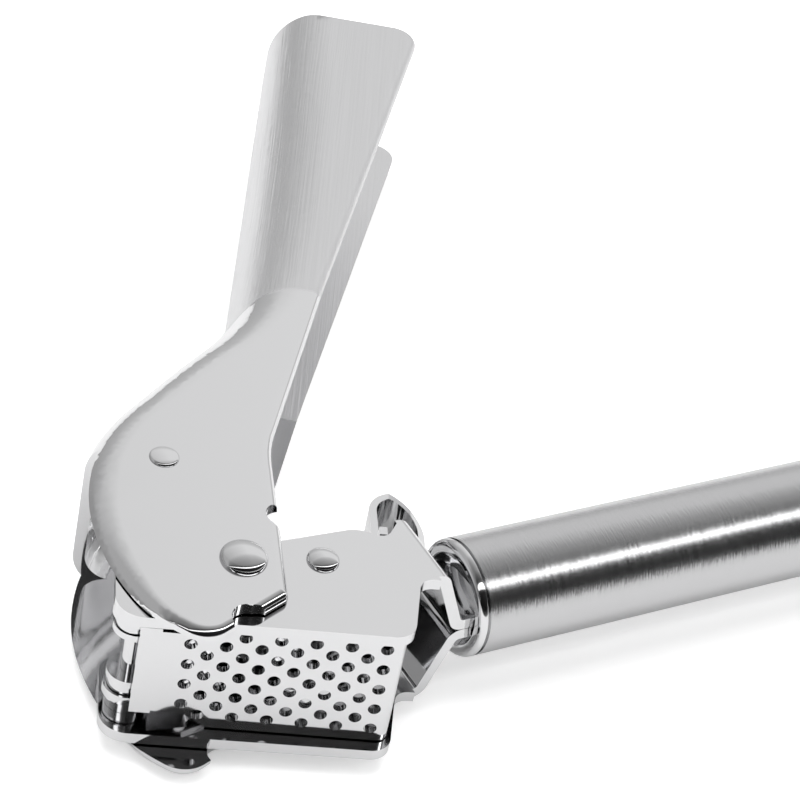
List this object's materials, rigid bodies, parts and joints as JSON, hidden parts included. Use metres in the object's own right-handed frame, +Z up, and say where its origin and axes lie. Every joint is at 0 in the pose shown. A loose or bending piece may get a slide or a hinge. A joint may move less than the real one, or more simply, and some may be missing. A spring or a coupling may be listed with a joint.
{
  "type": "garlic press",
  "caption": "Part-open garlic press: fork-ended tubular handle with hanging loop, bent-sheet lever with channel grip, lift-out sieve and pressing plate.",
  "frame": {"origin": "centre of the bounding box on its underside, the press lying on its side as in the picture, lever part open", "axes": "+Z is up and parallel to every hinge axis; +X runs along the tubular handle from the main pivot to the hanging loop; +Y points to the side on which the lever opens"},
  "size_m": [0.2296, 0.1782, 0.0348],
  "materials": {
    "polished_steel": "mirror polished stainless steel",
    "lever_steel": "polished yoke, lengthwise brushed grip",
    "satin_steel": "satin brushed stainless steel",
    "washer_plastic": "thin translucent bearing washer"
  },
  "bodies": {
    "frame": {"side_plate_upper": "polished_steel", "side_plate_lower": "polished_steel", "front_collar": "polished_steel", "handle_tube": "satin_steel", "end_cap": "polished_steel", "hanging_loop": "polished_steel", "stop_stud_upper": "polished_steel", "stop_stud_lower": "polished_steel", "hinge_rod": "polished_steel", "rod_spacer_upper": "polished_steel", "rod_spacer_lower": "polished_steel", "rod_collar_upper": "polished_steel", "rod_collar_lower": "polished_steel", "sieve": "polished_steel"},
    "lever": {"lever": "lever_steel", "pivot_rivet_upper": "polished_steel", "pivot_rivet_lower": "polished_steel", "pivot_washer_upper": "washer_plastic", "pivot_washer_lower": "washer_plastic", "crank_arm_upper": "polished_steel", "crank_arm_lower": "polished_steel", "crank_pin": "polished_steel", "cross_axle": "polished_steel", "axle_sleeve": "polished_steel"},
    "press": {"press_plate": "polished_steel"}
  },
  "joints": [
    {"name": "lever_hinge", "type": "hinge", "parent": "frame", "child": "lever", "pos_m": [-0.0927, -0.067, 0.0174], "axis": [0, 0, 1], "range_deg": [-43.3, 103.7]},
    {"name": "press_hinge", "type": "hinge", "parent": "frame", "child": "press", "pos_m": [-0.10917, -0.06548, 0.0174], "axis": [0, 0, 1], "range_deg": [-13, 31.2]}
  ],
  "couplings": [
    {"joint": "press_hinge", "follows": "lever_hinge", "ratio": 0.3}
  ]
}
